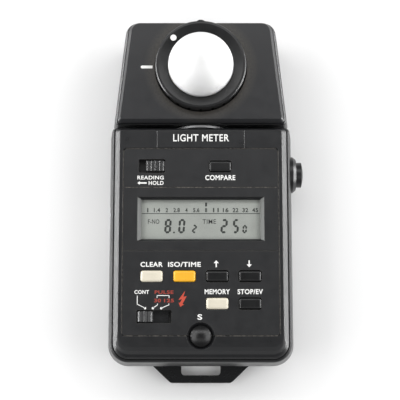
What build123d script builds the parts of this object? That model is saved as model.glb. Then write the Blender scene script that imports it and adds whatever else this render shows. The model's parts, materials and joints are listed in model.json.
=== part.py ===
from build123d import *
import math
import os

# Handheld light meter, lying on its back: +Z out of the front face, +Y towards the swivel head,
# +X to the right. The origin is on the back plane, on the swivel axis and at mid length.
# All sizes are in millimetres.

# ---- driving dimensions --------------------------------------------------------------------
BODY_HALF = 32.5            # half width of the main case at the parting line
BODY_LOW_Y = -58.2          # lower end of the main case
BODY_HIGH_Y = 25.2          # upper end of the main case, a flat wall square to the swivel axis
FACE_Z = 24.5               # front face of the case and of the head
PARTING_Z = 12.25           # plane where the front and rear shells meet, and height of the swivel axis
WALL = 2.2                  # wall, floor and face thickness
FACE_INNER_Z = 22.0         # inner side of the front face
LEDGE_Z = 21.9              # top of the rounded shoulder that surrounds the raised face
GROOVE_Z = 21.4             # floor of the fine groove between the shoulder and the raised face

HEAD_LOW_Y = 26.3           # flat lower wall of the head, 1.1 above the case
HEAD_HIGH_Y = 64.2
HEAD_HALF_LOW = 31.65
HEAD_HALF_HIGH = 27.5
HEAD_INNER_Y = HEAD_LOW_Y + 2.1

AXIS_Z = PARTING_Z          # swivel axis: parallel to Y at x = 0
COLLAR_R = 10.1
BUSH_R = 9.0
BUSH_FLANGE_R = 9.6
TUBE_R = 7.0
TUBE_BORE_R = 5.0
RUNNING_FIT = 0.05          # radial clearance of everything that turns or slides in a bore

PANEL_HALF = 27.0
PANEL_LOW_Y = -48.2
PANEL_HIGH_Y = 17.0
PANEL_SEAT_Z = 23.4
PANEL_TOP_Z = 24.4
PANEL_GROOVE = 0.22         # fine gap between the panel and its pocket
DIVIDERS_Y = (3.2, -19.0)   # fine grooves that part the panel into three fields

LCD_HALF = 22.1             # mouth of the display window in the panel
LCD_LOW_Y = -15.7
LCD_HIGH_Y = -0.1
LCD_PANE_Z = 22.8

KEY_W = 7.6
KEY_H = 3.85
KEY_GAP = 0.2
KEY_TOP_Z = 24.95
KEY_ROUND = 0.45
KEY_FLANGE_Z = (21.0, 21.9)
KEYS = {
    "clear_key": (-16.95, -27.9),
    "time_key": (-5.65, -27.9),
    "up_key": (5.65, -27.9),
    "down_key": (16.95, -27.9),
    "recall_key": (5.65, -37.3),
    "value_key": (16.95, -37.3),
    "average_key": (6.8, 10.65),
}

LOCK_X, LOCK_Y = -17.1, 10.8          # middle of the measure-lock window
LOCK_W, LOCK_H = 9.2, 4.8
LOCK_KNOB_X, LOCK_KNOB_W = -15.9, 6.45
MODE_X, MODE_Y = -16.0, -41.8         # middle of the mode selector's window
MODE_W, MODE_H = 12.05, 4.5
MODE_KNOB_X, MODE_KNOB_W = -19.1, 5.3
CARRIAGE_Z = (20.6, 21.8)
SLIDER_TOP_Z = 25.1

MEMORY_Y = -48.4
MEMORY_R = 3.75
MEMORY_DOME = 1.5

SIDE_Y = 9.9                # measuring button, on the right side
SYNC_Y = -6.0               # flash sync socket, on the left side
SYNC_PIN_R = 1.75
SIDE_BUTTON_R = 4.5
SIDE_BUTTON_END_X = 36.7

BOARD_Z = (15.6, 17.2)
BATTERY_Y = -42.0
BATTERY_R = 6.5             # 4SR44 cell, 13 mm across and 25.2 mm long
BATTERY_LEN = 25.2
BATTERY_Z = 8.5
COVER_HALF = 14.0
COVER_HIGH_Y = -34.0
COVER_T = 1.35

RING_Y = 46.7               # middle of the diffuser
RING_R = 16.05
RING_BORE_R = 13.55
DOME_R = 11.55
DOME_Z = 27.0
WELL_FLOOR_Z = 21.8
WELL_GAP = 0.2
GRIP_NOTCHES = 24

LUG_Z = (1.9, 4.1)
LUG_LOW_Y = -63.9
SLOT_HALF = 7.0
SLOT_Y = (-61.2, -56.95)

CASE_SCREWS = [(-25.5, 20.6), (25.5, 20.6), (-24.5, -52.8), (24.5, -52.8)]
HEAD_SCREWS = [(-24.5, 32.0), (24.5, 32.0), (-21.3, 58.4), (21.3, 58.4)]
BOARD_POSTS = [(-24.0, 2.0), (24.0, 0.0), (-24.0, -25.0), (24.0, -25.0)]
BOSS_R = 2.6
SCREW_R = 1.0
SCREW_HEAD_R = 1.9


# ---- small helpers -------------------------------------------------------------------------
def box(x, y, z):
    """Box between two limits along each axis."""
    size = [high - low for low, high in (x, y, z)]
    middle = [(high + low) / 2 for low, high in (x, y, z)]
    return Pos(*middle) * Box(*size)


def slab(x, y, z, r):
    """Flat slab with rounded vertical corners."""
    face = Pos((x[0] + x[1]) / 2, (y[0] + y[1]) / 2, z[0]) * RectangleRounded(x[1] - x[0], y[1] - y[0], r)
    return extrude(face, z[1] - z[0])


def rod_x(x, y, z, r):
    return Pos((x[0] + x[1]) / 2, y, z) * Rot(0, 90, 0) * Cylinder(r, x[1] - x[0])


def rod_y(y, x, z, r):
    return Pos(x, (y[0] + y[1]) / 2, z) * Rot(90, 0, 0) * Cylinder(r, y[1] - y[0])


def rod_z(z, x, y, r):
    return Pos(x, y, (z[0] + z[1]) / 2) * Cylinder(r, z[1] - z[0])


def cone_z(z, x, y, r_low, r_high):
    return Pos(x, y, (z[0] + z[1]) / 2) * Cone(r_low, r_high, z[1] - z[0])


def outline(z, half_low, half_high, y_low, y_high, r_low, r_high):
    """Four-sided outline at height z, symmetric about x = 0, with its own radius at each end."""
    corners = [(-half_low, y_low), (half_low, y_low), (half_high, y_high), (-half_high, y_high)]
    face = make_face(Polyline(*corners, close=True))
    face = fillet(face.vertices().group_by(Axis.Y)[0], r_low)
    face = fillet(face.vertices().group_by(Axis.Y)[-1], r_high)
    return Pos(0, 0, z) * face


def skin(*sections):
    """Straight-sided solid through a stack of outlines."""
    return loft([outline(*section).faces()[0] for section in sections], ruled=True)


def prism(z, section):
    return skin((z[0],) + section, (z[1],) + section)


def coil(radius, wire, length, turns):
    """Compression spring along +Z from z = 0, with its wire inside the length."""
    height = length - 2 * wire
    path = Helix(pitch=height / turns, height=height, radius=radius)
    section = Plane(origin=path @ 0, z_dir=path % 0) * Circle(wire)
    return Pos(0, 0, wire) * sweep(section, path=path)


def bosses(places, z, r):
    return [rod_z(z, x, y, r) for x, y in places]


def save(name, shape):
    solids = shape if isinstance(shape, list) else [shape]
    part = solids[0] if len(solids) == 1 else Compound(children=solids)
    export_step(part, os.path.join("parts", name + ".step"))


# ---- main case -----------------------------------------------------------------------------
SHOULDER = (
    (PARTING_Z, BODY_HALF, BODY_HALF, BODY_LOW_Y, BODY_HIGH_Y, 7.3, 2.0),
    (20.7, 31.45, 31.45, -57.3, BODY_HIGH_Y, 6.6, 1.6),
    (21.2, 31.33, 31.33, -57.2, 25.1, 6.5, 1.5),
    (21.6, 31.08, 31.08, -56.95, 24.9, 6.3, 1.4),
    (LEDGE_Z, 30.65, 30.65, -56.5, 24.6, 6.0, 1.3),
)
PLATEAU = (                 # raised face, rolled off towards its lower end
    (GROOVE_Z, 30.15, 30.15, -56.0, 24.35, 5.4, 1.1),
    (22.7, 30.15, 30.15, -56.0, 24.35, 5.4, 1.1),
    (23.3, 29.57, 29.57, -55.4, 24.13, 4.9, 1.0),
    (23.8, 29.08, 29.08, -54.6, 23.95, 4.5, 0.9),
    (24.15, 28.74, 28.74, -53.5, 23.83, 4.2, 0.9),
    (24.35, 28.55, 28.55, -52.1, 23.75, 4.0, 0.8),
    (24.45, 28.45, 28.45, -50.8, 23.72, 3.9, 0.8),
    (FACE_Z, 28.4, 28.4, -49.4, 23.7, 3.8, 0.8),
)
GROOVE_OUT = (30.5, 30.5, -56.35, 24.45, 5.8, 1.2)
REAR_SKIN = (
    (PARTING_Z, BODY_HALF, BODY_HALF, BODY_LOW_Y, BODY_HIGH_Y, 7.3, 2.0),
    (1.3, 31.2, 31.2, -56.0, BODY_HIGH_Y, 6.2, 1.8),
    (0.4, 30.8, 30.8, -55.6, 24.9, 5.9, 1.6),
    (0.0, 30.1, 30.1, -54.9, 24.3, 5.4, 1.2),
)


def panel_shape(margin, z):
    """Control panel, or its pocket when a margin is given."""
    return slab((-PANEL_HALF - margin, PANEL_HALF + margin),
                (PANEL_LOW_Y - margin, PANEL_HIGH_Y + margin), z, 1.0 + margin)


def memory_recess():
    """Conical rim round the memory button, half in the panel and half in the case."""
    return cone_z((23.5, FACE_Z + 0.01), 0, MEMORY_Y, MEMORY_R + KEY_GAP, 4.85)


def control_cuts(z):
    """Openings for the keys, the sliders and the memory button, through heights z."""
    cuts = []
    for x, y in KEYS.values():
        half_w, half_h = KEY_W / 2 + KEY_GAP, KEY_H / 2 + KEY_GAP
        cuts.append(slab((x - half_w, x + half_w), (y - half_h, y + half_h), z, 1.0))
    for x, y, w, h in ((LOCK_X, LOCK_Y, LOCK_W, LOCK_H), (MODE_X, MODE_Y, MODE_W, MODE_H)):
        cuts.append(slab((x - w / 2, x + w / 2), (y - h / 2, y + h / 2), z, 0.5))
    cuts.append(rod_z(z, 0, MEMORY_Y, MEMORY_R + KEY_GAP))
    return cuts


def side_fitting_cuts():
    """Holes in both shells for the measuring button's collar and the sync socket."""
    return [
        rod_x((28.0, 30.3), SIDE_Y, AXIS_Z, 6.3),
        rod_x((29.0, 34.0), SIDE_Y, AXIS_Z, 5.4),
        rod_x((31.6, 34.0), SIDE_Y, AXIS_Z, 6.5),
        rod_x((-30.3, -29.0), SYNC_Y, AXIS_Z, 5.4),
        rod_x((-34.0, -29.0), SYNC_Y, AXIS_Z, 4.2),
    ]


def neck_hole():
    return rod_y((BODY_HIGH_Y - 3.0, BODY_HIGH_Y + 1.0), 0, AXIS_Z, BUSH_R)


def front_case():
    case = skin(*SHOULDER)
    case -= prism((GROOVE_Z, LEDGE_Z + 0.1), GROOVE_OUT)
    case += skin(*PLATEAU)
    name_pad = loft([
        (Pos(0, 20.35, FACE_Z) * Rectangle(30.8, 6.3)).faces()[0],
        (Pos(0, 20.35, FACE_Z + 0.2) * Rectangle(30.5, 6.1)).faces()[0],
    ], ruled=True)
    case += name_pad
    cavity = prism((PARTING_Z, 19.5), (30.3, 30.3, -56.0, BODY_HIGH_Y - WALL, 5.0, 1.0))
    cavity += prism((19.4, FACE_INNER_Z), (28.6, 28.6, -54.6, BODY_HIGH_Y - WALL, 4.0, 1.0))
    for boss in bosses(CASE_SCREWS, (PARTING_Z, FACE_INNER_Z), BOSS_R):
        cavity -= boss
    case -= cavity
    for hole in bosses(CASE_SCREWS, (PARTING_Z, 19.0), SCREW_R):
        case -= hole
    case -= panel_shape(PANEL_GROOVE, (PANEL_SEAT_Z, FACE_Z + 0.01))
    for cut in control_cuts((FACE_INNER_Z - 0.1, PANEL_TOP_Z - 0.8)) + side_fitting_cuts():
        case -= cut
    case -= memory_recess()
    case -= box((-21.0, 21.0), (-14.9, -0.9), (FACE_INNER_Z - 0.1, PANEL_SEAT_Z))
    case -= box((-22.0, 22.0), (-15.6, -0.2), (LCD_PANE_Z, PANEL_SEAT_Z))
    return case - neck_hole()


def rear_case():
    case = skin(*reversed(REAR_SKIN))
    cavity = prism((WALL, PARTING_Z), (30.0, 30.0, -54.2, BODY_HIGH_Y - WALL, 4.6, 1.0))
    keep = bosses(CASE_SCREWS, (0, PARTING_Z), BOSS_R)
    keep.append(box((-14.7, 14.7), (-50.2, -33.9), (0, PARTING_Z)))
    keep.append(box((10.5, 12.5), (19.4, BODY_HIGH_Y), (0, 9.0)))
    for piece in keep:
        cavity -= piece
    case -= cavity
    for post in bosses(BOARD_POSTS, (WALL - 0.2, BOARD_Z[0]), 2.0):
        case += post
    case -= box((-13.5, 13.5), (-49.0, -35.1), (-1, PARTING_Z + 1))
    margin = 0.15
    case -= box((-COVER_HALF - margin, COVER_HALF + margin), (-60, COVER_HIGH_Y + margin), (-1, 1.5))
    case -= box((-COVER_HALF - 1.15, COVER_HALF + 1.15), (-60, COVER_HIGH_Y + margin), (0.45, 1.2))
    case -= box((-18.2, 18.2), (-24.2, -3.8), (-1, 0.35))
    for x, y in CASE_SCREWS:
        case -= rod_z((-1, 2.4), x, y, SCREW_HEAD_R + 0.2)
        case -= rod_z((-1, PARTING_Z + 1), x, y, SCREW_R + 0.15)
    for cut in side_fitting_cuts():
        case -= cut
    return case - neck_hole() - strap_lug()


def strap_lug():
    corners = [(-18.2, -56.9), (-10.8, LUG_LOW_Y), (10.8, LUG_LOW_Y), (18.2, -56.9)]
    plate = make_face(Polyline(*corners, close=True))
    plate = fillet(plate.vertices().group_by(Axis.Y)[0], 2.0)
    lug = extrude(Pos(0, 0, LUG_Z[0]) * plate, LUG_Z[1] - LUG_Z[0])
    lug += box((-13.0, 13.0), (-57.0, -55.0), LUG_Z)
    slot = slab((-SLOT_HALF, SLOT_HALF), SLOT_Y, (0, 6), 1.2)
    square_top = box((-SLOT_HALF, SLOT_HALF), (SLOT_Y[1] - 1.5, SLOT_Y[1]), (0, 6))
    return lug - slot - square_top


def case_screws(places):
    screws = []
    for x, y in places:
        screw = rod_z((0.7, 2.4), x, y, SCREW_HEAD_R) + rod_z((2.4, 18.6), x, y, SCREW_R)
        screw -= box((x - 1.2, x + 1.2), (y - 0.2, y + 0.2), (0.6, 1.3))
        screw -= box((x - 0.2, x + 0.2), (y - 1.2, y + 1.2), (0.6, 1.3))
        screws.append(screw)
    return screws


def battery_cover():
    cover = box((-COVER_HALF, COVER_HALF), (-55.3, COVER_HIGH_Y), (0, COVER_T))
    cover += box((-COVER_HALF - 1.0, COVER_HALF + 1.0), (-55.3, COVER_HIGH_Y), (0.6, 1.05))
    for step in range(4):
        y = -50.0 + 1.6 * step
        cover -= box((-6.0, 6.0), (y, y + 0.7), (-0.1, 0.3))
    return cover


# ---- display, panel and keys ---------------------------------------------------------------
def control_panel():
    panel = panel_shape(0, (PANEL_SEAT_Z, PANEL_TOP_Z))
    panel = chamfer(panel.faces().sort_by(Axis.Z)[-1].outer_wire().edges(), 0.15)
    for cut in control_cuts((PANEL_SEAT_Z - 0.1, PANEL_TOP_Z + 0.1)):
        panel -= cut
    middle_y = (LCD_LOW_Y + LCD_HIGH_Y) / 2
    mouth = Rectangle(2 * LCD_HALF, LCD_HIGH_Y - LCD_LOW_Y)
    floor = Rectangle(2 * LCD_HALF - 2.2, LCD_HIGH_Y - LCD_LOW_Y - 1.6)
    window = loft([(Pos(0, middle_y, PANEL_SEAT_Z) * floor).faces()[0],
                   (Pos(0, middle_y, PANEL_TOP_Z) * mouth).faces()[0]], ruled=True)
    panel -= window
    for y in DIVIDERS_Y:
        panel -= box((-PANEL_HALF + 0.5, PANEL_HALF - 0.5), (y - 0.14, y + 0.14), (PANEL_TOP_Z - 0.2, 25))
    return panel - memory_recess()


def lcd_stack():
    frame = box((-23.4, 23.4), (-17.0, 1.2), (BOARD_Z[1], 21.9))
    frame -= box((-22.1, 22.1), (-15.7, -0.1), (BOARD_Z[1], 22.0))
    return {
        "lcd_window": box((-21.95, 21.95), (-15.55, -0.25), (LCD_PANE_Z, PANEL_SEAT_Z)),
        "lcd_glass": box((-22.0, 22.0), (-15.6, -0.2), (19.9, 21.9)),
        "lcd_reflector": box((-21.9, 21.9), (-13.7, -2.1), (19.5, 19.9)),
        "lcd_frame": frame,
        "zebra_strips": [box((-20, 20), (-15.4, -14.0), (BOARD_Z[1], 19.9)),
                         box((-20, 20), (-1.8, -0.4), (BOARD_Z[1], 19.9))],
    }


def key(x, y):
    cap = slab((x - KEY_W / 2, x + KEY_W / 2), (y - KEY_H / 2, y + KEY_H / 2),
               (KEY_FLANGE_Z[0], KEY_TOP_Z), 0.8)
    cap = fillet(cap.faces().sort_by(Axis.Z)[-1].edges(), KEY_ROUND)
    return cap + slab((x - 4.6, x + 4.6), (y - 2.7, y + 2.7), KEY_FLANGE_Z, 0.8)


def key_mat():
    top_y = KEYS["average_key"][1]
    low_sheet = box((-22.5, 22.5), (-32.0, -23.7), (BOARD_Z[1], 17.9))
    low_sheet += box((1.0, 22.5), (-41.0, -31.9), (BOARD_Z[1], 17.9))
    high_sheet = box((1.5, 12.1), (top_y - 3.2, top_y + 3.2), (BOARD_Z[1], 17.9))
    for name, (x, y) in KEYS.items():
        dome = cone_z((17.8, 19.8), x, y, 2.6, 1.6)
        if name == "average_key":
            high_sheet += dome
        else:
            low_sheet += dome
    return [low_sheet, high_sheet]


def slider(knob_x, knob_w, y, carriage_x, ridges):
    """Slide switch knob: a carriage under the face and a ridged, arched knob through the window."""
    carriage = box(carriage_x, (y - 3.2, y + 3.2), CARRIAGE_Z)
    low_x, high_x = knob_x - knob_w / 2, knob_x + knob_w / 2
    crown = SLIDER_TOP_Z - 0.5
    side = Polyline((low_x, CARRIAGE_Z[0]), (high_x, CARRIAGE_Z[0]), (high_x, crown))
    arch = ThreePointArc((high_x, crown), (knob_x, SLIDER_TOP_Z), (low_x, crown))
    back = Line((low_x, crown), (low_x, CARRIAGE_Z[0]))
    face = Plane.XZ * make_face(side + arch + back)
    knob = Pos(0, y + 2.05, 0) * extrude(face, 4.1)
    pitch = (knob_w - 0.9) / ridges
    for step in range(ridges + 1):
        x = knob_x - knob_w / 2 + 0.45 + pitch * step
        knob -= box((x - pitch * 0.22, x + pitch * 0.22), (y - 3, y + 3), (crown - 0.25, SLIDER_TOP_Z + 0.1))
    return carriage + knob


def memory_button():
    button = rod_z((20.5, 24.0), 0, MEMORY_Y, MEMORY_R)
    button += rod_z((20.5, 21.7), 0, MEMORY_Y, 4.6)
    button += rod_z((18.7, 20.6), 0, MEMORY_Y, 1.2)
    ball_r = (MEMORY_R ** 2 + MEMORY_DOME ** 2) / (2 * MEMORY_DOME)
    ball = Pos(0, MEMORY_Y, 24.0 + MEMORY_DOME - ball_r) * Sphere(ball_r)
    return button + (ball & rod_z((23.9, 26.0), 0, MEMORY_Y, MEMORY_R))


def measuring_button():
    """Domed cap, stem and retaining clip, turned about the button's own axis."""
    edge_x = SIDE_BUTTON_END_X - 0.7
    rim = Polyline((25.5, 0), (25.5, 1.6), (27.0, 1.6), (27.0, 2.5), (27.6, 2.5), (27.6, 1.6),
                   (31.6, 1.6), (31.6, SIDE_BUTTON_R), (edge_x, SIDE_BUTTON_R))
    crown_h = SIDE_BUTTON_END_X - edge_x
    ball_r = (SIDE_BUTTON_R ** 2 + crown_h ** 2) / (2 * crown_h)
    half_angle = math.asin(SIDE_BUTTON_R / ball_r) / 2
    half_way = (SIDE_BUTTON_END_X - ball_r * (1 - math.cos(half_angle)), ball_r * math.sin(half_angle))
    crown = ThreePointArc((edge_x, SIDE_BUTTON_R), half_way, (SIDE_BUTTON_END_X, 0))
    face = make_face(rim + crown + Line((SIDE_BUTTON_END_X, 0), (25.5, 0)))
    return Pos(0, SIDE_Y, AXIS_Z) * revolve(face, Axis.X)


def measuring_button_collar():
    collar = rod_x((28.0, 30.3), SIDE_Y, AXIS_Z, 6.3)
    collar += rod_x((30.2, 31.7), SIDE_Y, AXIS_Z, 5.4)
    collar += rod_x((31.6, 32.9), SIDE_Y, AXIS_Z, 6.5)
    collar += Pos(33.45, SIDE_Y, AXIS_Z) * Rot(0, 90, 0) * Cone(6.5, 5.6, 1.1)
    collar -= rod_x((28.6, 35.0), SIDE_Y, AXIS_Z, SIDE_BUTTON_R + RUNNING_FIT)
    return collar - rod_x((27.0, 29.0), SIDE_Y, AXIS_Z, 1.6 + RUNNING_FIT)


def sync_socket():
    shell = rod_x((-32.2, -27.5), SYNC_Y, AXIS_Z, 4.2) + rod_x((-30.3, -29.3), SYNC_Y, AXIS_Z, 5.4)
    shell -= rod_x((-33.0, -27.0), SYNC_Y, AXIS_Z, 3.0)
    insulator = rod_x((-28.9, -27.5), SYNC_Y, AXIS_Z, 3.0) - rod_x((-30, -27), SYNC_Y, AXIS_Z, 2.1)
    contact = rod_x((-32.0, -28.8), SYNC_Y, AXIS_Z, SYNC_PIN_R) + rod_x((-28.9, -26.9), SYNC_Y, AXIS_Z, 2.1)
    contact -= rod_x((-33.0, -28.5), SYNC_Y, AXIS_Z, 0.6)
    return {"sync_shell": shell, "sync_insulator": insulator, "sync_contact": contact}


# ---- circuit, battery ----------------------------------------------------------------------
def main_board():
    board = slab((-27.5, 27.5), (-50.0, 18.0), BOARD_Z, 2.5)
    return board - box((-30, 30), (-54, -48.5), BOARD_Z) - box((26.8, 30), (2.0, 17.0), BOARD_Z)


def board_chips():
    chips = [
        ((-19.0, -5.0), (-16.0, -2.0), 13.4),
        ((0.0, 17.0), (-14.0, -4.0), 13.4),
        ((-18.0, -8.0), (-29.5, -21.0), 14.0),
        ((4.0, 12.0), (-29.0, -20.0), 13.6),
        ((-22.0, -17.0), (4.0, 13.0), 12.6),
    ]
    return [box(x, y, (low, BOARD_Z[0])) for x, y, low in chips]


def battery_parts():
    low_x = -13.2
    cell = rod_x((low_x + 0.9, low_x + BATTERY_LEN), BATTERY_Y, BATTERY_Z, BATTERY_R)
    cell += rod_x((low_x, low_x + 1.0), BATTERY_Y, BATTERY_Z, 3.6)
    plate = box((-13.5, -13.2), (BATTERY_Y - 4, BATTERY_Y + 4), (4.0, 13.5))
    turns = Rot(0, 90, 0) * coil(3.6, 0.3, 13.5 - (low_x + BATTERY_LEN), 2)
    spring = Pos(low_x + BATTERY_LEN, BATTERY_Y, BATTERY_Z) * turns
    return {"battery": cell, "battery_contact": plate, "battery_spring": spring}


# ---- swivel --------------------------------------------------------------------------------
def swivel_parts():
    bush = rod_y((BODY_HIGH_Y, 26.0), 0, AXIS_Z, COLLAR_R)
    bush += rod_y((22.9, BODY_HIGH_Y), 0, AXIS_Z, BUSH_R)
    bush += rod_y((22.0, BODY_HIGH_Y - WALL), 0, AXIS_Z, BUSH_FLANGE_R)
    bush -= rod_y((21.0, 27.0), 0, AXIS_Z, TUBE_R + RUNNING_FIT)
    tube = rod_y((18.6, HEAD_INNER_Y), 0, AXIS_Z, TUBE_R)
    tube += rod_y((HEAD_INNER_Y, HEAD_INNER_Y + 1.2), 0, AXIS_Z, 7.9)
    tube -= rod_y((18.0, 31.0), 0, AXIS_Z, TUBE_BORE_R)
    tube -= rod_y((19.2, 19.9), 0, AXIS_Z, 8.0) - rod_y((19.2, 19.9), 0, AXIS_Z, 6.4)
    disc = rod_y((19.9, 21.3), 0, AXIS_Z, 9.4) - rod_y((19.0, 22.0), 0, AXIS_Z, TUBE_R)
    for step in range(12):
        notch = rod_y((19.0, 22.0), 9.6, 0, 0.55)
        disc -= Pos(0, 0, AXIS_Z) * Rot(0, 30 * step, 0) * notch
    washer = rod_y((21.3, 21.8), 0, AXIS_Z, 9.0) - rod_y((21.0, 22.0), 0, AXIS_Z, TUBE_R)
    ring = rod_y((19.2, 19.9), 0, AXIS_Z, 8.8) - rod_y((19.0, 20.0), 0, AXIS_Z, 6.4)
    ring -= box((-2.5, 2.5), (19.0, 20.0), (0, AXIS_Z))
    leaf = box((10.2, 10.5), (19.9, 21.3), (4.0, 18.0)) + rod_y((19.9, 21.3), 10.2, AXIS_Z, 0.6)
    leaf -= box((10.5, 12.0), (19.0, 22.0), (3.0, 19.0))
    return {
        "swivel_bush": bush,
        "swivel_tube": tube,
        "click_disc": disc,
        "wave_washer": washer,
        "retaining_ring": ring,
        "click_spring": leaf,
    }


# ---- head ----------------------------------------------------------------------------------
HEAD_FRONT_SKIN = (
    (PARTING_Z, HEAD_HALF_LOW, HEAD_HALF_HIGH, HEAD_LOW_Y, HEAD_HIGH_Y, 1.5, 4.8),
    (20.7, 30.65, 26.5, HEAD_LOW_Y, 64.0, 1.3, 4.3),
    (21.2, 30.5, 26.35, HEAD_LOW_Y, 63.95, 1.2, 4.2),
    (21.6, 30.25, 26.1, 26.35, 63.8, 1.1, 4.1),
    (LEDGE_Z, 29.9, 25.75, 26.5, 63.6, 1.0, 4.0),
)
HEAD_PLATEAU_BASE = (29.5, 25.35, 26.6, 63.4, 1.0, 3.8)
HEAD_FACE = (28.55, 24.4, 27.8, 63.0, 0.8, 3.2)
HEAD_GROOVE_OUT = (29.75, 25.6, 26.5, 63.5, 1.0, 3.9)
HEAD_REAR_SKIN = (
    (PARTING_Z, HEAD_HALF_LOW, HEAD_HALF_HIGH, HEAD_LOW_Y, HEAD_HIGH_Y, 1.5, 4.8),
    (1.3, 30.4, 26.3, HEAD_LOW_Y, 63.2, 1.3, 4.2),
    (0.4, 30.0, 25.9, 26.6, 62.9, 1.2, 4.0),
    (0.0, 29.4, 25.3, 27.2, 62.3, 1.0, 3.6),
)


def head_tube_hole():
    return rod_y((HEAD_LOW_Y - 1.0, HEAD_INNER_Y + 1.0), 0, AXIS_Z, TUBE_R)


def ring_well():
    """Round well for the diffuser's ring, with a slightly broken edge."""
    r = RING_R + WELL_GAP
    edge = cone_z((FACE_Z - 0.3, FACE_Z + 0.01), 0, RING_Y, r, r + 0.15)
    return rod_z((WELL_FLOOR_Z, FACE_Z), 0, RING_Y, r) + edge


def head_front_case():
    case = skin(*HEAD_FRONT_SKIN)
    case -= prism((GROOVE_Z, LEDGE_Z + 0.1), HEAD_GROOVE_OUT)
    case += skin((GROOVE_Z,) + HEAD_PLATEAU_BASE, (23.3,) + HEAD_PLATEAU_BASE, (FACE_Z,) + HEAD_FACE)
    cavity = prism((PARTING_Z, 20.3), (29.0, 24.9, HEAD_INNER_Y, 61.9, 1.5, 3.0))
    cavity += prism((20.2, FACE_INNER_Z), (28.0, 23.9, HEAD_INNER_Y + 0.4, 61.5, 1.5, 3.0))
    cavity -= rod_z((20.3, FACE_INNER_Z), 0, RING_Y, 20.6)
    for boss in bosses(HEAD_SCREWS, (PARTING_Z, FACE_INNER_Z), BOSS_R):
        cavity -= boss
    case -= cavity
    for hole in bosses(HEAD_SCREWS, (PARTING_Z, 19.0), SCREW_R):
        case -= hole
    case -= ring_well()
    case -= rod_z((20.0, 22.0), 0, RING_Y, 9.0)
    return case - head_tube_hole()


def head_rear_case():
    case = skin(*reversed(HEAD_REAR_SKIN))
    cavity = prism((WALL, PARTING_Z), (28.8, 24.7, HEAD_INNER_Y, 61.7, 1.5, 3.0))
    for boss in bosses(HEAD_SCREWS, (0, PARTING_Z), BOSS_R):
        cavity -= boss
    case -= cavity
    for x, y in HEAD_SCREWS:
        case -= rod_z((-1, 2.4), x, y, SCREW_HEAD_R + 0.2)
        case -= rod_z((-1, PARTING_Z + 1), x, y, SCREW_R + 0.15)
    for post_y in (37.0, 56.5):
        for x in (-15.5, 15.5):
            case += rod_z((WALL - 0.2, 14.0), x, post_y, 1.8)
    return case - head_tube_hole()


def sensor_parts():
    holder = rod_z((15.4, 20.3), 0, RING_Y, 9.9) - rod_z((17.2, 21.0), 0, RING_Y, 7.0)
    holder -= rod_z((15.0, 18.0), 0, RING_Y, 5.6)
    lead = rod_y((14.0, 38.4), 0, AXIS_Z, 1.2) + rod_z((AXIS_Z, 14.0), 0, 37.3, 0.9)
    mount = rod_z((WELL_FLOOR_Z, 24.6), 0, RING_Y, RING_BORE_R - RUNNING_FIT)
    mount -= cone_z((WELL_FLOOR_Z - 0.01, 24.61), 0, RING_Y, 9.0, 11.8)
    return {
        "bayonet_mount": mount,
        "cell_holder": holder,
        "cell_filter": rod_z((17.2, 18.4), 0, RING_Y, 6.95),
        "photocell": rod_z((15.4, 17.1), 0, RING_Y, 5.4),
        "head_board": slab((-18.0, 18.0), (34.0, 59.5), (14.0, 15.4), 1.5),
        "head_lead": lead,
    }


# ---- diffuser ------------------------------------------------------------------------------
def diffuser_ring():
    low, lip, top = 22.15, 26.25, 28.1
    profile = Polyline(
        (RING_BORE_R, low), (RING_R, low), (RING_R, 27.65), (RING_R - 0.4, top), (15.0, top + 0.05),
        (DOME_R + 0.15, 27.3), (DOME_R + 0.15, lip), (RING_BORE_R, lip), close=True)
    ring = Pos(0, RING_Y, 0) * revolve(Plane.XZ * make_face(profile), Axis.Z)
    for step in range(GRIP_NOTCHES):
        angle = math.radians(360.0 / GRIP_NOTCHES * step)
        x, y = (RING_R + 0.1) * math.cos(angle), (RING_R + 0.1) * math.sin(angle)
        ring -= rod_z((low - 1, 26.6), x, RING_Y + y, 0.5)
    return ring + (rod_z((26.6, 27.9), 0, RING_Y + 14.2, 2.2) - rod_z((26.0, 28.0), 0, RING_Y, 15.0))


def spherical_diffuser():
    wall = 1.2
    dome = (Pos(0, RING_Y, DOME_Z) * Sphere(DOME_R)) & rod_z((DOME_Z, 45), 0, RING_Y, DOME_R + 1)
    dome += rod_z((25.25, DOME_Z), 0, RING_Y, DOME_R)
    dome += rod_z((25.25, 26.25), 0, RING_Y, RING_BORE_R - 0.1)
    dome -= Pos(0, RING_Y, DOME_Z) * Sphere(DOME_R - wall)
    return dome - rod_z((25.0, DOME_Z), 0, RING_Y, DOME_R - wall)


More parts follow.
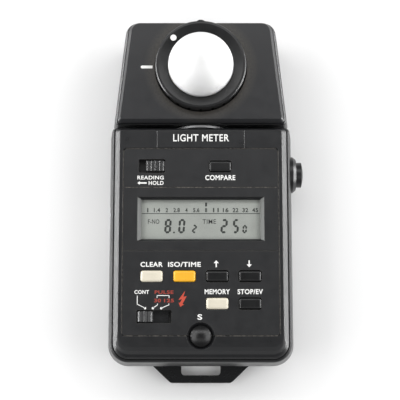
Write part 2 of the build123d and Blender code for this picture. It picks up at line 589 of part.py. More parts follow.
# ---- everything ----------------------------------------------------------------------------
def build():
    pieces = {
        "front_case": front_case(),
        "rear_case": rear_case(),
        "strap_lug": strap_lug(),
        "case_screws": case_screws(CASE_SCREWS),
        "battery_cover": battery_cover(),
        "data_plate": box((-18.0, 18.0), (-24.0, -4.0), (0.05, 0.35)),
        "control_panel": control_panel(),
        "key_mat": key_mat(),
        "mode_knob": slider(MODE_KNOB_X, MODE_KNOB_W, MODE_Y, (-26.1, -11.1), 3),
        "mode_switch": box((-27.0, -8.0), (-45.0, -38.6), (BOARD_Z[1], 20.3)),
        "lock_knob": slider(LOCK_KNOB_X, LOCK_KNOB_W, LOCK_Y, (-22.4, -9.6), 5),
        "lock_switch": box((-25.4, -9.0), (7.6, 14.0), (BOARD_Z[1], 20.3)),
        "memory_button": memory_button(),
        "memory_spring": Pos(0, MEMORY_Y, BOARD_Z[1]) * coil(2.7, 0.2, 20.5 - BOARD_Z[1], 4),
        "measuring_button": measuring_button(),
        "measuring_button_collar": measuring_button_collar(),
        "measuring_button_spring": Pos(28.6, SIDE_Y, AXIS_Z) * Rot(0, 90, 0) * coil(2.7, 0.2, 3.0, 3),
        "measuring_switch": box((19.0, 23.8), (7.4, 12.4), (9.5, BOARD_Z[0])),
        "main_board": main_board(),
        "board_chips": board_chips(),
        "lead_socket": box((-4.0, 4.0), (9.5, 13.7), (10.5, BOARD_Z[0])),
        "head_front_case": head_front_case(),
        "head_rear_case": head_rear_case(),
        "head_screws": case_screws(HEAD_SCREWS),
        "diffuser_ring": diffuser_ring(),
        "spherical_diffuser": spherical_diffuser(),
    }
    for name, (x, y) in KEYS.items():
        pieces[name] = key(x, y)
    for group in (lcd_stack(), sync_socket(), battery_parts(), swivel_parts(), sensor_parts()):
        pieces.update(group)
    return pieces


os.makedirs("parts", exist_ok=True)
for node, shape in build().items():
    save(node, shape)
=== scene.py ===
import json
import math
import bmesh
import bpy
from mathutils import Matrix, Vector


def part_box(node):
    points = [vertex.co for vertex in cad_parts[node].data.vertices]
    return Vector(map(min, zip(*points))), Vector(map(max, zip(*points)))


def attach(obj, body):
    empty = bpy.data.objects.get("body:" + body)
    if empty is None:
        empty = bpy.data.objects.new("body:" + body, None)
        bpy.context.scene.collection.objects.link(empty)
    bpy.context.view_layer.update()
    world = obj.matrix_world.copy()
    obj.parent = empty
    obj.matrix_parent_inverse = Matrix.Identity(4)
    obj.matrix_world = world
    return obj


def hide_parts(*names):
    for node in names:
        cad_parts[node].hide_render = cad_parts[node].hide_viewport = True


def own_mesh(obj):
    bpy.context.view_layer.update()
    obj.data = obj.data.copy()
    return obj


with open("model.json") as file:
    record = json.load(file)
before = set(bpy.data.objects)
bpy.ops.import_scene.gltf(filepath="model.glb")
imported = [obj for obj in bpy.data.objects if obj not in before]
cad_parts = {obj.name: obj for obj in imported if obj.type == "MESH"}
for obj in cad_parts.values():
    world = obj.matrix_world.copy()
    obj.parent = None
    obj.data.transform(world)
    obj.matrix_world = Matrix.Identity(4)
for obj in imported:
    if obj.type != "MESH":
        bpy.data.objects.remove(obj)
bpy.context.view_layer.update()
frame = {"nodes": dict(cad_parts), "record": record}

MM = 0.001  # metres in a millimetre
scene = bpy.context.scene
nodes = frame["nodes"]


# ---- places, read from the frame -----------------------------------------------------------
def middle(node):
    low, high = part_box(node)
    return (low + high) / 2


def top(node):
    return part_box(node)[1].z


PANEL_Z = top("control_panel")
FACE_Z = top("head_front_case")
LCD_Z = top("lcd_glass")
RING = middle("diffuser_ring").xy.to_3d()
RING.y = middle("spherical_diffuser").y


# ---- camera --------------------------------------------------------------------------------
CAMERA_AIM = Vector((0, 0.9, 12)) * MM
CAMERA_SHIFT = -0.29 * MM
CAMERA_TILT = math.radians(10)
CAMERA_DISTANCE = 404 * MM
CAMERA_LENS_MM = 101.2


def add_camera():
    """Looks down on the lying meter, leaning a little from its lower end."""
    camera = bpy.data.objects.new("camera", bpy.data.cameras.new("camera"))
    camera.data.sensor_width = 36
    camera.data.lens = CAMERA_LENS_MM
    camera.data.clip_start = 0.01
    back, up = -math.sin(CAMERA_TILT) * CAMERA_DISTANCE, math.cos(CAMERA_TILT) * CAMERA_DISTANCE
    camera.location = CAMERA_AIM + Vector((CAMERA_SHIFT, back, up))
    camera.rotation_euler = (CAMERA_TILT, 0, 0)
    scene.collection.objects.link(camera)
    scene.camera = camera


# ---- materials -----------------------------------------------------------------------------
class Paint:
    """One Principled material and the node-building steps that the finishes share."""

    def __init__(self, name, color, roughness, **sockets):
        self.material = bpy.data.materials.new(name)
        self.material.use_nodes = True
        self.tree = self.material.node_tree
        self.shader = self.tree.nodes["Principled BSDF"]
        self.color = color
        self.roughness = roughness
        self.tinted = None
        self.shader.inputs["Base Color"].default_value = (*color, 1)
        self.shader.inputs["Roughness"].default_value = roughness
        for socket, value in sockets.items():
            self.shader.inputs[socket.replace("_", " ")].default_value = value
        self.place = self.node("ShaderNodeTexCoord").outputs["Object"]
        self.normal = None

    def node(self, kind, **inputs):
        made = self.tree.nodes.new(kind)
        for socket, value in inputs.items():
            self.set(made, socket.replace("_", " "), value)
        return made

    def set(self, node, socket, value):
        """Links a socket, or sets a constant."""
        if isinstance(value, bpy.types.NodeSocket):
            self.tree.links.new(value, node.inputs[socket])
        else:
            node.inputs[socket].default_value = value

    def vector_math(self, operation, *values):
        made = self.node("ShaderNodeVectorMath")
        made.operation = operation
        for index, value in enumerate(values):
            self.set(made, index, value)
        return made

    def times(self, first, second):
        made = self.node("ShaderNodeMath")
        made.operation = "MULTIPLY"
        self.set(made, 0, first)
        self.set(made, 1, second)
        return made.outputs[0]

    def tint(self, value):
        """Makes value the colour so far."""
        self.tinted = value
        self.set(self.shader, "Base Color", value)
        return self

    def noise(self, size_mm, detail=2.0, rough=0.5, stretch=None):
        place = self.place
        if stretch:
            mapping = self.node("ShaderNodeMapping", Vector=place)
            mapping.inputs["Scale"].default_value = stretch
            place = mapping.outputs[0]
        made = self.node("ShaderNodeTexNoise", Vector=place, Scale=1 / (size_mm * MM), Detail=detail,
                         Roughness=rough)
        return made.outputs["Fac"]

    def span(self, value, low, high, from_low=0.3, from_high=0.7):
        made = self.node("ShaderNodeMapRange", Value=value, From_Min=from_low, From_Max=from_high,
                         To_Min=low, To_Max=high)
        return made.outputs["Result"]

    def mix(self, factor, first, second):
        made = self.tree.nodes.new("ShaderNodeMix")
        made.data_type = "RGBA"
        self.set(made, "Factor", factor)
        for index, value in ((6, first), (7, second)):  # the mix node's two colour inputs
            self.set(made, index, value if isinstance(value, bpy.types.NodeSocket) else (*value, 1))
        return made.outputs[2]

    def shade(self, amount):
        return tuple(min(1, c * amount) for c in self.color)

    def mottle(self, size_mm, amount, fine_mm=0.5):
        """Slow and fine variation of the colour."""
        slow = self.span(self.noise(size_mm, 3), 0, 1)
        fine = self.span(self.noise(fine_mm, 3), 0, 1)
        base = self.mix(slow, self.shade(1 - amount), self.shade(1 + amount))
        return self.tint(self.mix(self.span(fine, 0, 0.5, 0, 1), base, self.shade(1 + amount / 2)))

    def painted_glow_ring(self, centre, near_mm, far_mm, color):
        """Painted glow of light reflected from the white diffuser dome, round a round foot, strongest against
        it.
        """
        away = self.vector_math("SUBTRACT", self.place, centre)
        flat = self.vector_math("MULTIPLY", away.outputs[0], (1, 1, 0))
        length = self.vector_math("LENGTH", flat.outputs[0]).outputs["Value"]
        near = self.span(length, 1, 0, near_mm * MM, far_mm * MM)
        patchy = self.span(self.noise(0.7, 4, 0.7), 0.25, 1, 0.35, 0.65)
        return self.tint(self.mix(self.times(near, patchy), self.tinted, color))

    def uneven_gloss(self, size_mm, amount):
        rough = self.span(self.noise(size_mm, 4, 0.6), self.roughness - amount, self.roughness + amount)
        self.set(self.shader, "Roughness", rough)
        return self

    def soft_edges(self, radius_mm, wear=None):
        """Rounds what the light does at sharp edges; wear is how much of which colour shows there."""
        bevel = self.node("ShaderNodeBevel", Radius=radius_mm * MM)
        bevel.samples = 6
        self.normal = bevel.outputs[0]
        if wear:
            amount, color = wear
            flat = self.node("ShaderNodeNewGeometry").outputs["Normal"]
            bend = self.vector_math("DOT_PRODUCT", self.normal, flat).outputs["Value"]
            edge = self.span(bend, amount, 0, 0.86, 0.995)
            patchy = self.span(self.noise(3.0, 4, 0.7), 0.2, 1)
            worn = self.mix(self.times(edge, patchy), self.tinted, color)
            self.set(self.shader, "Base Color", worn)
        self.set(self.shader, "Normal", self.normal)
        return self

    def bump(self, height, depth_mm):
        made = self.node("ShaderNodeBump", Height=height, Distance=depth_mm * MM, Strength=1.0)
        if self.normal:
            self.set(made, "Normal", self.normal)
        self.normal = made.outputs[0]
        self.set(self.shader, "Normal", self.normal)
        return self


def moulded(name, color, roughness, grain_mm=0.35, depth_mm=0.012, edge_mm=0.25, wear=None):
    """Moulded plastic: fine spark-eroded grain, slow sink and flow variation, softened edges."""
    paint = Paint(name, color, roughness)
    paint.mottle(9.0, 0.10).uneven_gloss(4.0, 0.05).soft_edges(edge_mm, wear)
    paint.bump(paint.noise(grain_mm, 3, 0.6), depth_mm)
    return paint.material


def head_plastic():
    """The head's front case, with a painted glow of reflected dome light round the diffuser ring."""
    paint = Paint("head_plastic", (0.0160, 0.0165, 0.0182), 0.34)
    # Painted reflection: a patchy brownish ring of dome light is painted into the face round the diffuser
    # ring.
    paint.mottle(9.0, 0.10).painted_glow_ring(tuple(RING), 16.0, 20.5, (0.075, 0.067, 0.056))
    paint.uneven_gloss(4.0, 0.05).soft_edges(0.25, (0.55, (0.08, 0.08, 0.078)))
    paint.bump(paint.noise(0.35, 3, 0.6), 0.012)
    return paint.material


def dust(name, color):
    """Patchy dust that lets the black groove show between its specks."""
    paint = Paint(name, color, 0.8)
    thick = paint.span(paint.noise(0.9, 4, 0.7), 0, 1, 0.42, 0.6)
    paint.tint(paint.mix(thick, (0.008, 0.008, 0.008), color))
    paint.bump(paint.noise(0.15, 2), 0.02)
    return paint.material


def metal(name, color, roughness):
    paint = Paint(name, color, roughness, Metallic=1.0)
    paint.mottle(6.0, 0.06).uneven_gloss(1.5, 0.06).soft_edges(0.08)
    paint.bump(paint.noise(0.25, 2, 0.5, (1, 6, 1)), 0.003)
    return paint.material


def clear(name, alpha, color, roughness):
    """Clear plastic or glass, thinned by a constant alpha."""
    paint = Paint(name, color, roughness, Alpha=alpha)
    paint.mottle(8.0, 0.03).uneven_gloss(6.0, 0.015)
    paint.bump(paint.noise(14.0, 2), 0.01)
    return paint.material


def ink(name, color, roughness=0.45):
    paint = Paint(name, color, roughness)
    paint.mottle(2.5, 0.05, 0.3).uneven_gloss(1.0, 0.06)
    paint.bump(paint.noise(0.2, 2), 0.004)
    return paint.material


def opal(name, color):
    """White plastic that lets light in under its surface."""
    paint = Paint(name, color, 0.38, Subsurface_Weight=0.7, Subsurface_Scale=3.0 * MM)
    paint.shader.inputs["Subsurface Radius"].default_value = (1.0, 1.0, 0.95)
    paint.mottle(12.0, 0.012, 1.0).uneven_gloss(5.0, 0.04)
    paint.bump(paint.noise(0.3, 2), 0.003)
    return paint.material


# One finish for each material slot of the record.
MATERIALS = {
    "case_black": moulded("case_plastic", (0.0095, 0.0099, 0.0110), 0.32, wear=(0.15, (0.05, 0.05, 0.048))),
    "panel_black": moulded("panel_plastic", (0.0092, 0.0096, 0.0108), 0.41, 0.3, 0.010, 0.15,
                           wear=(0.9, (0.15, 0.14, 0.125))),
    "knob_black": moulded("knob_plastic", (0.010, 0.0105, 0.0115), 0.30, 0.4, 0.006, 0.12,
                          wear=(0.6, (0.10, 0.10, 0.098))),
    "key_black": moulded("key_plastic_black", (0.0026, 0.0028, 0.0032), 0.31, 0.6, 0.001, 0.1),
    "key_cream": moulded("key_plastic_cream", (0.70, 0.65, 0.53), 0.38, 0.5, 0.004, 0.3),
    "key_orange": moulded("key_plastic_orange", (0.86, 0.43, 0.022), 0.38, 0.5, 0.004, 0.3),
    "button_gloss": moulded("button_plastic", (0.0025, 0.0025, 0.003), 0.33, 0.8, 0.001, 0.2),
    "rubber_grey": moulded("silicone_rubber", (0.30, 0.30, 0.29), 0.7, 0.5, 0.02, 0.2),
    "switch_grey": moulded("inner_plastic", (0.10, 0.10, 0.10), 0.5),
    "white_plastic": moulded("insulator_plastic", (0.75, 0.75, 0.72), 0.4),
    "plate_grey": moulded("plate_enamel", (0.055, 0.056, 0.06), 0.32, 0.6, 0.003, 0.1),
    "chip_black": moulded("chip_resin", (0.03, 0.03, 0.03), 0.55),
    "board_green": moulded("board_lacquer", (0.03, 0.16, 0.07), 0.3),
    "lead_grey": moulded("lead_sleeve", (0.2, 0.2, 0.22), 0.5),
    "lcd_grey": moulded("display_polariser", (0.40, 0.42, 0.39), 0.42, 0.6, 0.001, 0.1),
    "photocell": moulded("photocell_glass", (0.04, 0.05, 0.09), 0.1, 1.0, 0.001, 0.1),
    "steel": metal("plated_steel", (0.55, 0.55, 0.56), 0.3),
    "cell_steel": metal("cell_case", (0.62, 0.62, 0.63), 0.25),
    "alloy": metal("turned_alloy", (0.60, 0.60, 0.62), 0.32),
    "collar_satin": metal("satin_collar", (0.22, 0.22, 0.225), 0.42),
    "brass": metal("brass_contact", (0.72, 0.55, 0.25), 0.25),
    "reflector": metal("reflector_foil", (0.55, 0.56, 0.52), 0.5),
    "opal_white": opal("opal_diffuser", (0.87, 0.87, 0.86)),
    "clear_pane": clear("clear_pane", 0.06, (0.10, 0.105, 0.10), 0.06),
    "filter_glass": clear("filter_glass", 0.5, (0.45, 0.65, 0.62), 0.05),
}
INK_WHITE = ink("ink_white", (0.88, 0.88, 0.86))
INK_RED = ink("ink_red", (0.36, 0.045, 0.028))
INK_ORANGE = ink("ink_orange", (0.52, 0.065, 0.035))
SEGMENT = ink("display_segment", (0.026, 0.030, 0.027), 0.6)
PANE_EDGE = ink("pane_edge", (0.11, 0.115, 0.11), 0.34)
GROOVE_DUST = dust("groove_dust", (0.17, 0.155, 0.135))
# Nodes whose finish differs from that of their slot.
SPECIAL = {
    "head_front_case": head_plastic(),
    "diffuser_ring": moulded("ring_plastic", (0.0040, 0.0042, 0.0047), 0.34, 0.4, 0.006, 0.15),
    "strap_lug": moulded("lug_plastic", (0.0045, 0.0050, 0.0058), 0.26, 0.5, 0.006, 0.2),
}


def finish_nodes():
    """Gives every CAD node the material of its record slot."""
    slots = {part["node"]: part["material_slot"] for part in frame["record"]["subparts"]}
    for name, node in nodes.items():
        node.data.materials.clear()
        node.data.materials.append(SPECIAL.get(name, MATERIALS[slots[name]]))


# ---- meshes --------------------------------------------------------------------------------
def skin(mesh, loops, smooth=False):
    """Faces between each closed loop of vertices and the next."""
    for first, second in zip(loops, loops[1:]):
        for i in range(len(first)):
            j = (i + 1) % len(first)
            mesh.faces.new((first[i], first[j], second[j], second[i])).smooth = smooth


def data_from(mesh, name):
    data = bpy.data.meshes.new(name)
    mesh.to_mesh(data)
    mesh.free()
    return data


def add_piece(data, material, body, replaced=None):
    """Links a visual piece that moves with body, in place of a CAD node where one is named."""
    data.materials.append(material)
    piece = bpy.data.objects.new(data.name, data)
    scene.collection.objects.link(piece)
    if replaced:
        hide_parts(replaced)
    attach(piece, body)


# ---- key caps ------------------------------------------------------------------------------
KEY_HALF_X, KEY_HALF_Y = 3.8 * MM, 1.925 * MM
KEY_CORNER_R, KEY_LEAST_CORNER_R = 0.8 * MM, 0.12 * MM
KEY_ROUND_IN, KEY_ROUND_DOWN = 0.85 * MM, 0.85 * 0.75 * MM
KEY_FLANGE_OUT, KEY_FLANGE_HEIGHT = 0.8 * MM, 0.9 * MM
KEY_ROUND_STEPS, KEY_CORNER_STEPS = 6, 4


def key_loop(mesh, centre, inset, z):
    """One level of a key: a rounded rectangle, smaller by inset on each side."""
    corner_r = max(KEY_LEAST_CORNER_R, KEY_CORNER_R - inset * 0.8)
    across, along = KEY_HALF_X - inset - corner_r, KEY_HALF_Y - inset - corner_r
    loop = []
    for corner, (side, end) in enumerate(((1, 1), (-1, 1), (-1, -1), (1, -1))):
        for step in range(KEY_CORNER_STEPS + 1):
            turn = math.pi / 2 * (corner + step / KEY_CORNER_STEPS)
            x = centre.x + side * across + corner_r * math.cos(turn)
            y = centre.y + end * along + corner_r * math.sin(turn)
            loop.append(mesh.verts.new((x, y, z)))
    return loop


def key_cap(node, slot):
    """Softly rounded key on its hidden flange, in place of the plain CAD one."""
    low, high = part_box(node)
    flange_top, shoulder = low.z + KEY_FLANGE_HEIGHT, high.z - KEY_ROUND_DOWN
    levels = [(-KEY_FLANGE_OUT, low.z), (-KEY_FLANGE_OUT, flange_top), (0.0, flange_top), (0.0, shoulder)]
    for step in range(1, KEY_ROUND_STEPS + 1):
        turn = math.pi / 2 * step / KEY_ROUND_STEPS
        levels.append((KEY_ROUND_IN * (1 - math.cos(turn)), high.z - KEY_ROUND_DOWN * (1 - math.sin(turn))))
    mesh = bmesh.new()
    loops = [key_loop(mesh, middle(node), inset, z) for inset, z in levels]
    skin(mesh, loops, smooth=True)
    mesh.faces.new(loops[0][::-1])
    mesh.faces.new(loops[-1])
    add_piece(data_from(mesh, node + "_cap"), MATERIALS[slot], node, replaced=node)


def key_caps():
    for part in frame["record"]["subparts"]:
        if part["node"].endswith("_key"):
            key_cap(part["node"], part["material_slot"])


# ---- springs -------------------------------------------------------------------------------
def pressed_spring(node):
    """Copy of the coil with its own mesh, fixed to the body, in place of the CAD node."""
    piece = nodes[node].copy()
    piece.data = nodes[node].data.copy()
    piece.name = node + "_coil"
    for key in list(piece.keys()):
        del piece[key]
    scene.collection.objects.link(piece)
    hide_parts(node)
    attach(piece, "body")
    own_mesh(piece)


# ---- slide knobs ---------------------------------------------------------------------------
KNOB_ARCH_MM, KNOB_RIDGE_MM = 0.45, 0.42
KNOB_STEPS_PER_RIDGE = 12
KNOB_EDGE_MM = ((-2.05, 0.55), (-1.95, 0.22), (-1.7, 0.0), (1.7, 0.0), (1.95, 0.22), (2.05, 0.55))
CARRIAGE_HEIGHT = 1.2 * MM


def slide_knob(node, body, shift_mm, width_mm, ridges):
    """Knob with rounded ridges on its carriage, in place of the plain CAD one.

    KNOB_EDGE_MM is its section across the slot: distance from the middle, drop from the top."""
    low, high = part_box(node)
    centre = middle(node)
    near_y, far_y = (centre.y + KNOB_EDGE_MM[end][0] * MM for end in (0, -1))
    steps = KNOB_STEPS_PER_RIDGE * ridges
    mesh = bmesh.new()
    columns = []
    for step in range(steps + 1):
        u = step / steps
        x = centre.x + (shift_mm + (u - 0.5) * width_mm) * MM
        arch = KNOB_ARCH_MM * (2 * u - 1) ** 2
        ridge = KNOB_RIDGE_MM * (0.5 + 0.5 * math.cos(2 * math.pi * ridges * u)) ** 0.8
        column = [(x, near_y, low.z)]
        column += [(x, centre.y + dy * MM, high.z - (arch + ridge + drop) * MM) for dy, drop in KNOB_EDGE_MM]
        column.append((x, far_y, low.z))
        columns.append([mesh.verts.new(point) for point in column])
    corners = ((low.x, low.y), (high.x, low.y), (high.x, high.y), (low.x, high.y))
    carriage = [[mesh.verts.new((*corner, z)) for corner in corners]
                for z in (low.z, low.z + CARRIAGE_HEIGHT)]
    for loops in (columns, carriage):
        skin(mesh, loops)
        mesh.faces.new(loops[0][::-1])
        mesh.faces.new(loops[-1])
    bmesh.ops.recalc_face_normals(mesh, faces=mesh.faces)
    data = data_from(mesh, node + "_visual")
    add_piece(data, MATERIALS["knob_black"], body, replaced=node)


# ---- flat print, as thin raised solids -----------------------------------------------------
PRINT_ROOT = 0.005 * MM  # how far a print reaches into the surface under it


class Print:
    """Collects thin raised shapes of one ink on one level, and makes them one piece.

    All its lengths are in millimetres, apart from the level z."""

    def __init__(self, name, z, thickness_mm=0.02):
        self.mesh = bmesh.new()
        self.name = name
        self.low = z - PRINT_ROOT
        self.high = z + thickness_mm * MM

    def polygon(self, points):
        """Raises one simple outline."""
        low, high = ([self.mesh.verts.new((x * MM, y * MM, z)) for x, y in points]
                     for z in (self.low, self.high))
        self.mesh.faces.new(high)
        self.mesh.faces.new(low[::-1])
        skin(self.mesh, (low, high))

    def block(self, x, y):
        """Rectangle that fills the limits x and y."""
        self.polygon([(x[0], y[0]), (x[1], y[0]), (x[1], y[1]), (x[0], y[1])])

    def bar(self, start, end, width):
        """Straight stroke with square ends."""
        a, b = Vector(start), Vector(end)
        side = (b - a).normalized().orthogonal() * width / 2
        self.polygon([tuple(p) for p in (a - side, b - side, b + side, a + side)])

    def disc(self, x, y, radius, steps=20):
        turns = [2 * math.pi * i / steps for i in range(steps)]
        self.polygon([(x + radius * math.cos(t), y + radius * math.sin(t)) for t in turns])

    def text(self, words, x, y, weight=0.026):
        """Lettering that fills the limits x and y."""
        curve = bpy.data.curves.new("lettering", "FONT")
        curve.body = words
        curve.offset = weight
        curve.extrude = 0.5
        curve.space_character = 1.1
        holder = bpy.data.objects.new("lettering", curve)
        scene.collection.objects.link(holder)
        bpy.context.view_layer.update()
        mesh = bpy.data.meshes.new_from_object(holder.evaluated_get(bpy.context.evaluated_depsgraph_get()))
        points = [v.co for v in mesh.vertices]
        low_x, high_x = min(p.x for p in points), max(p.x for p in points)
        low_y, high_y = min(p.y for p in points), max(p.y for p in points)
        for p in points:
            p.x = (x[0] + (p.x - low_x) / (high_x - low_x) * (x[1] - x[0])) * MM
            p.y = (y[0] + (p.y - low_y) / (high_y - low_y) * (y[1] - y[0])) * MM
            p.z = self.high if p.z > 0 else self.low
        self.mesh.from_mesh(mesh)
        bpy.data.objects.remove(holder)
        bpy.data.meshes.remove(mesh)

    def done(self, material, body):
        bmesh.ops.remove_doubles(self.mesh, verts=self.mesh.verts, dist=1e-7)
        bmesh.ops.recalc_face_normals(self.mesh, faces=self.mesh.faces)
        add_piece(data_from(self.mesh, self.name), material, body)


# ---- legends on the panel ------------------------------------------------------------------
# Places and sizes of the legends are in millimetres.
# Words beside a key: node, distance above its middle, width, height.
KEY_LABELS = {
    "CLEAR": ("clear_key", 4.08, 7.7, 1.7),
    "ISO/TIME": ("time_key", 4.08, 11.3, 1.7),
    "MEMORY": ("recall_key", 4.07, 8.7, 1.75),
    "STOP/EV": ("value_key", 4.07, 8.7, 1.75),
    "COMPARE": ("average_key", -4.0, 10.5, 1.8),
}
LEADER_WIDTH_MM = 0.24
SELECTOR_LEADERS = (
    ((-21.8, -34.6), (-21.8, -37.55), (-19.15, -38.8)),
    ((-14.85, -37.3), (-14.85, -37.75), (-16.4, -38.85)),
    ((-10.95, -37.3), (-10.95, -37.75), (-13.55, -38.85)),
    ((-15.0, -35.4), (-15.0, -34.55), (-10.9, -34.55), (-10.9, -35.4)),
)
SELECTOR_STOPS_X = (-19.1, -16.4, -13.55)
SELECTOR_DOT_Y, SELECTOR_DOT_R = -38.9, 0.4
SPEED_ROW = (-36.9, -35.65)
BOLT = ((-5.35, -32.85), (-7.7, -36.1), (-6.45, -35.75), (-7.25, -37.15), (-7.65, -36.9),
        (-7.05, -38.45), (-5.75, -37.6), (-6.3, -37.45), (-4.85, -34.75), (-6.0, -35.0))


def label(prints, words):
    node, above, width, height = KEY_LABELS[words]
    spot = middle(node) / MM
    y = spot.y + above
    prints.text(words, (spot.x - width / 2, spot.x + width / 2), (y - height / 2, y + height / 2))


def arrow(prints, x, y, length, direction, head=1.8, stroke=0.42):
    """Arrow centred on x, y; direction is a unit step."""
    along = Vector(direction)
    side = Vector((-along.y, along.x))
    tip = Vector((x, y)) + along * length / 2
    neck = tip - along * head * 0.55
    tail = tip - along * length
    prints.polygon([tuple(p) for p in (
        tip, neck + side * head / 2, neck + side * stroke / 2, tail + side * stroke / 2,
        tail - side * stroke / 2, neck - side * stroke / 2, neck - side * head / 2)])


def white_legends():
    white = Print("panel_legends", PANEL_Z)
    for words in KEY_LABELS:
        label(white, words)
    for node, shift, way in (("up_key", -0.35, 1), ("down_key", -0.3, -1)):
        spot = middle(node) / MM
        arrow(white, spot.x + shift, spot.y + 4.3, 2.4, (0, way))
    white.text("READING", (-22.15, -12.95), (5.98, 7.35), 0.02)
    white.text("HOLD", (-18.2, -13.0), (4.05, 5.45), 0.02)
    arrow(white, -20.5, 4.75, 3.2, (-1, 0), 1.4, 0.5)
    white.text("CONT", (-22.8, -17.8), (-34.0, -32.7))
    for leader in SELECTOR_LEADERS:
        for start, end in zip(leader, leader[1:]):
            white.bar(start, end, LEADER_WIDTH_MM)
    for x in SELECTOR_STOPS_X:
        white.disc(x, SELECTOR_DOT_Y, SELECTOR_DOT_R)
    white.text("S", (-1.15, 0.45), (-42.85, -40.95))
    white.done(INK_WHITE, "body")


def red_legends():
    red = Print("panel_legends_red", PANEL_Z)
    red.text("PULSE", (-15.85, -9.4), (-34.0, -32.8), 0.02)
    red.text("30", (-16.0, -13.7), SPEED_ROW)
    red.text("125", (-12.6, -9.25), SPEED_ROW)
    red.done(INK_RED, "body")
    bolt = Print("flash_symbol", PANEL_Z)
    bolt.polygon(BOLT)
    bolt.done(INK_ORANGE, "body")


def name_legend():
    name = Print("name_legend", top("front_case"))
    name.text("LIGHT METER", (-9.7, 9.9), (19.55, 22.15), 0.012)
    name.done(INK_WHITE, "body")


# ---- dust in the panel's grooves -----------------------------------------------------------
PANEL_GAP_MM = 0.11
DUST_WIDTH_MM = 0.17
CORNER_MM = 0.8  # left clear at each corner of the panel
BUTTON_HALF_MM = 5.0  # left clear for the memory button
DIVIDER_Y_MM, DIVIDER_HALF_MM = 3.2, 26.3


def groove_dust():
    """Dust in the fine gap round the control panel and in its upper divider."""
    line = Print("groove_dust", PANEL_Z - 0.14 * MM, 0.1)
    low, high = (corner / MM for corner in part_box("control_panel"))
    left, right = low.x - PANEL_GAP_MM, high.x + PANEL_GAP_MM
    bottom, top_y = low.y - PANEL_GAP_MM, high.y + PANEL_GAP_MM
    for x in (left, right):
        line.bar((x, bottom + CORNER_MM), (x, top_y - CORNER_MM), DUST_WIDTH_MM)
    line.bar((left + CORNER_MM, top_y), (right - CORNER_MM, top_y), DUST_WIDTH_MM)
    line.bar((left + CORNER_MM, bottom), (-BUTTON_HALF_MM, bottom), DUST_WIDTH_MM)
    line.bar((BUTTON_HALF_MM, bottom), (right - CORNER_MM, bottom), DUST_WIDTH_MM)
    line.bar((-DIVIDER_HALF_MM, DIVIDER_Y_MM), (DIVIDER_HALF_MM, DIVIDER_Y_MM), DUST_WIDTH_MM)
    line.done(GROOVE_DUST, "body")


# ---- marks on the head ---------------------------------------------------------------------
# In millimetres, like the print that they go into.
INDEX_LEFT_X, INDEX_RIGHT_X, INDEX_HALF_WIDTH = -20.85, -17.15, 0.52
DOT_FROM_AXIS, DOT_R, DOT_TURN = 13.7, 1.1, math.radians(135)


def index_line():
    """White line beside the ring, rounded at its outer end."""
    index = Print("index_line", FACE_Z, 0.03)
    y = RING.y / MM
    turns = [math.pi / 2 + math.pi * i / 10 for i in range(11)]
    end = [(INDEX_LEFT_X + INDEX_HALF_WIDTH * math.cos(t), y + INDEX_HALF_WIDTH * math.sin(t)) for t in turns]
    index.polygon(end + [(INDEX_RIGHT_X, y - INDEX_HALF_WIDTH), (INDEX_RIGHT_X, y + INDEX_HALF_WIDTH)])
    index.done(INK_WHITE, "head")


def ring_dot():
    """White dot on the ring, which turns with it."""
    dot = Print("ring_dot", top("diffuser_ring") - 0.05 * MM, 0.08)
    x = RING.x / MM + DOT_FROM_AXIS * math.cos(DOT_TURN)
    y = RING.y / MM + DOT_FROM_AXIS * math.sin(DOT_TURN)
    dot.disc(x, y, DOT_R, 32)
    dot.done(INK_WHITE, "diffuser")


# ---- display -------------------------------------------------------------------------------
SEGMENTS = {"0": "abcdef", "2": "abged", "5": "afgcd", "8": "abcdefg"}
SEGMENT_ENDS = {"a": ((0, 1), (1, 1)), "d": ((0, 0), (1, 0)), "g": ((0, 0.5), (1, 0.5)),
                "b": ((1, 0.5), (1, 1)), "c": ((1, 0), (1, 0.5)), "e": ((0, 0), (0, 0.5)),
                "f": ((0, 0.5), (0, 1))}
LEAN = 0.08
LARGE_ROW, LARGE_STROKE, SMALL_STROKE = (-12.65, -7.6), 0.76, 0.6
# Figure, its limits in x and in y, and the width of its strokes, in millimetres.
FIGURES = (
    ("8", (-12.85, -10.1), LARGE_ROW, LARGE_STROKE),
    ("0", (-8.0, -5.3), LARGE_ROW, LARGE_STROKE),
    ("2", (-3.15, -1.3), (-12.6, -9.6), SMALL_STROKE),
    ("2", (6.75, 9.5), LARGE_ROW, LARGE_STROKE),
    ("5", (10.95, 13.5), LARGE_ROW, LARGE_STROKE),
    ("0", (14.4, 16.2), (-12.65, -9.7), SMALL_STROKE),
)
STOPS = ("1", "1.4", "2", "2.8", "4", "5.6", "8", "11", "16", "22", "32", "45")
STOP_FIRST_X, STOP_PITCH, STOP_ROW = -18.75, 3.43, (-5.2, -3.7)
CAPTION_ROW = (-9.3, -7.7)
WINDOW_END_MM = 1.25  # width of the bevel at each end of the window
WINDOW_END_INSET = 0.1 * MM
WINDOW_END_LIFT = 0.02 * MM  # clear of the pane under it and of the panel beside it
WINDOW_END_SINK = 0.2 * MM


def digit(prints, figure, x, y, stroke):
    """Seven-segment figure that fills x and y, leaning right."""
    height = y[1] - y[0]
    lean = LEAN * height
    width = x[1] - x[0] - lean
    half = stroke / 2
    for name in SEGMENTS[figure]:
        a, b = (Vector((half + across * (width - stroke), half + up * (height - stroke)))
                for across, up in SEGMENT_ENDS[name])
        along = (b - a).normalized()
        side = Vector((-along.y, along.x)) * half
        gap = along * stroke * 0.12
        taper = along * half * 0.8
        corners = (a + gap, a + gap + taper + side, b - gap - taper + side, b - gap,
                   b - gap - taper - side, a + gap + taper - side)
        prints.polygon([(x[0] + p.x + lean * p.y / height, y[0] + p.y) for p in corners])


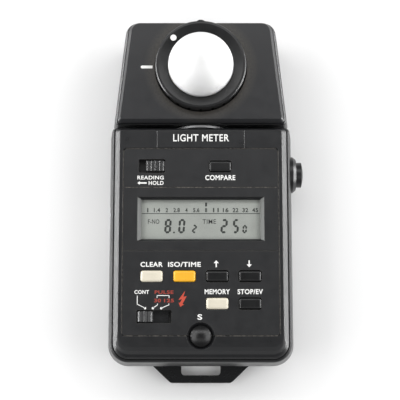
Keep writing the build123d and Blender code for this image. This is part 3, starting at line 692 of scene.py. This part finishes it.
def aperture_scale(dark):
    """Row of stops over a fine line, with the pointer above it."""
    for place, stop in enumerate(STOPS):
        x = STOP_FIRST_X + STOP_PITCH * place
        half = 0.4 + 0.6 * (len(stop.replace(".", "")) - 1) + 0.1 * ("." in stop)
        left = x if stop == "1" else x - half  # a lone 1 is narrow
        dark.text(stop, (left, x + half), STOP_ROW, 0.03)
    dark.block((1.5, 2.15), (-3.15, -1.8))
    dark.block((-20.65, 20.65), (-5.8, -5.56))


def display():
    dark = Print("display_segments", LCD_Z, 0.02)
    aperture_scale(dark)
    dark.text("F-NO", (-18.45, -14.5), CAPTION_ROW, 0.01)
    dark.text("TIME", (0.6, 5.3), CAPTION_ROW, 0.005)
    for figure in FIGURES:
        digit(dark, *figure)
    dark.disc(-9.35, -12.35, 0.33)
    dark.done(SEGMENT, "body")


def display_edges():
    """Polished bevels at the two ends of the window, which catch the side lights."""
    low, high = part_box("lcd_window")
    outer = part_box("lcd_glass")[1].x
    inner = outer - WINDOW_END_MM * MM
    section = ((inner, high.z + WINDOW_END_LIFT), (outer, PANEL_Z - WINDOW_END_LIFT),
               (outer, PANEL_Z - WINDOW_END_SINK), (inner, high.z - WINDOW_END_SINK))
    mesh = bmesh.new()
    for side in (-1, 1):
        loops = [[mesh.verts.new((side * x, y, z)) for x, z in section]
                 for y in (low.y + WINDOW_END_INSET, high.y - WINDOW_END_INSET)]
        skin(mesh, loops)
        mesh.faces.new(loops[0][::-1])
        mesh.faces.new(loops[-1])
    bmesh.ops.recalc_face_normals(mesh, faces=mesh.faces)
    add_piece(data_from(mesh, "display_edges"), PANE_EDGE, "body")


# ---- stage ---------------------------------------------------------------------------------
TABLE_HALF = 12.0
TABLE_DROP = 0.05 * MM
# Lamp, place and size in metres, power in watts; each one faces the origin.
SOFTBOXES = (
    ("low_strip_left", (-0.86, 0.08, 0.06), (0.9, 0.11), 9.6),
    ("low_strip_right", (0.86, 0.08, 0.06), (0.9, 0.11), 9.0),
    ("softbox_left", (-0.80, 0.10, 0.70), (1.4, 0.6), 6.8),
    ("softbox_right", (0.80, 0.10, 0.70), (1.4, 0.6), 6.8),
    ("softbox_back", (0, 0.66, 1.02), (1.5, 0.42), 5.1),
    ("softbox_front", (0, -0.52, 0.98), (1.6, 0.4), 1.7),
)
ROOM_LIGHT = 0.22


def floor():
    mesh = bpy.data.meshes.new("table")
    corners = [(x * TABLE_HALF, y * TABLE_HALF, 0) for x, y in ((-1, -1), (1, -1), (1, 1), (-1, 1))]
    mesh.from_pydata(corners, [], [(0, 1, 2, 3)])
    table = bpy.data.objects.new("table", mesh)
    scene.collection.objects.link(table)
    table.location.z = -TABLE_DROP
    mesh.materials.append(Paint("table_white", (0.90, 0.90, 0.90), 0.6).material)


def softbox(name, place, size, power):
    light = bpy.data.lights.new(name, "AREA")
    light.shape = "RECTANGLE"
    light.size, light.size_y = size
    light.energy = power
    holder = bpy.data.objects.new(name, light)
    holder.location = place
    holder.rotation_euler = (-Vector(place)).to_track_quat("-Z", "Y").to_euler()
    scene.collection.objects.link(holder)


def lights():
    for lamp in SOFTBOXES:
        softbox(*lamp)
    scene.world = bpy.data.worlds.new("studio")
    scene.world.use_nodes = True
    background = scene.world.node_tree.nodes["Background"]
    background.inputs["Color"].default_value = (1, 1, 1, 1)
    background.inputs["Strength"].default_value = ROOM_LIGHT


scene.view_settings.view_transform = "Standard"
add_camera()
finish_nodes()
key_caps()
pressed_spring("memory_spring")
pressed_spring("measuring_button_spring")
slide_knob("mode_knob", "mode_selector", -0.5, 5.3, 3)
slide_knob("lock_knob", "measure_lock", 0.1, 6.45, 5)
white_legends()
red_legends()
groove_dust()
name_legend()
index_line()
ring_dot()
display()
display_edges()
floor()
lights()
